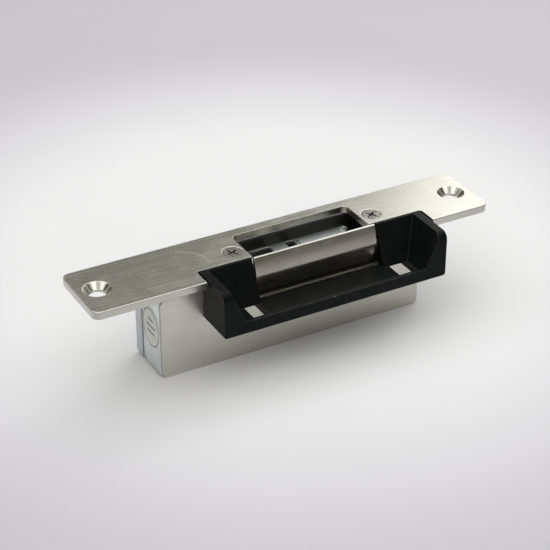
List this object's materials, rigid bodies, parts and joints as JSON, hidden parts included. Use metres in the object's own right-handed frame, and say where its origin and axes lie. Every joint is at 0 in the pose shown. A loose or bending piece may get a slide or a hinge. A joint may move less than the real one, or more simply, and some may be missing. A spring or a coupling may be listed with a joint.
{
  "type": "electric door strike",
  "caption": "Narrow electric door strike: steel faceplate, black latch lip, hinged keeper locked by a solenoid-driven lever in a slim body.",
  "frame": {"origin": "centre of the faceplate's two mounting holes, on the plate's underside", "axes": "+X along the faceplate, +Y from the lip to the back of the body, +Z out of the door frame through the faceplate"},
  "size_m": [0.16, 0.0398, 0.038],
  "materials": {
    "plate_steel": "lengthwise brushed stainless",
    "dark_screw": "dark oxide, satin",
    "zinc_casting": "satin zinc die casting",
    "cover_steel": "fine brushed stainless",
    "plated_screw": "bright zinc plate",
    "tray_steel": "zinc-plated sheet steel",
    "label_paper": "matt blank sticker",
    "black_lip": "satin black coating",
    "keeper_steel": "satin nickel-plated steel",
    "pin_steel": "ground steel",
    "brass": "plain brass",
    "spring_steel": "drawn spring wire",
    "recess_steel": "zinc-plated",
    "lever_steel": "sintered steel, satin",
    "plunger_steel": "nickel-plated iron",
    "yoke_steel": "zinc-plated steel",
    "bobbin_plastic": "glass-filled nylon",
    "copper_winding": "enamelled copper wire",
    "terminal_plastic": "moulded thermoplastic",
    "liner_plastic": "black nylon",
    "diode_body": "black epoxy"
  },
  "bodies": {
    "frame": {"faceplate": "plate_steel", "faceplate_screws": "dark_screw", "body_casting": "zinc_casting", "front_cover": "cover_steel", "front_cover_studs": "plated_screw", "rear_cover": "tray_steel", "rear_cover_screws": "plated_screw", "inspection_label": "label_paper", "latch_guide": "black_lip", "guide_screws": "plated_screw", "keeper_pin": "pin_steel", "keeper_washers": "brass", "keeper_spring": "spring_steel", "recess_plate": "recess_steel", "recess_liner": "liner_plastic", "recess_screws": "plated_screw", "lever_pin": "pin_steel", "lever_bushes": "brass", "solenoid_yoke": "yoke_steel", "yoke_screws": "plated_screw", "coil_bobbin": "bobbin_plastic", "coil_winding": "copper_winding", "pole_piece": "plunger_steel", "plunger_spring": "spring_steel", "terminal_block": "terminal_plastic", "terminal_screws": "brass", "terminal_clamps": "brass", "coil_leads": "copper_winding", "suppression_diode": "diode_body"},
    "keeper_jaw": {"keeper": "keeper_steel"},
    "lever": {"locking_lever": "lever_steel"},
    "plunger_rod": {"plunger": "plunger_steel", "plunger_clip": "spring_steel"}
  },
  "joints": [
    {"name": "keeper_hinge", "type": "hinge", "parent": "frame", "child": "keeper_jaw", "pos_m": [0, -0.0035, -0.01], "axis": [1, 0, 0], "range_deg": [0, 50], "stiffness_Nm_per_rad": 0.02, "deforming": ["keeper_spring"]},
    {"name": "lever_pivot", "type": "hinge", "parent": "frame", "child": "lever", "pos_m": [-0.0198, 0.0029, -0.0165], "axis": [0, 1, 0], "range_deg": [0, 16]},
    {"name": "plunger_slide", "type": "slide", "parent": "frame", "child": "plunger_rod", "axis": [-1, 0, 0], "range_m": [0, 0.00196], "deforming": ["plunger_spring"]}
  ],
  "couplings": [
    {"joint": "lever_pivot", "follows": "keeper_hinge", "ratio": 0.32},
    {"joint": "plunger_slide", "follows": "keeper_hinge", "m_per_rad": 0.0022345}
  ]
}
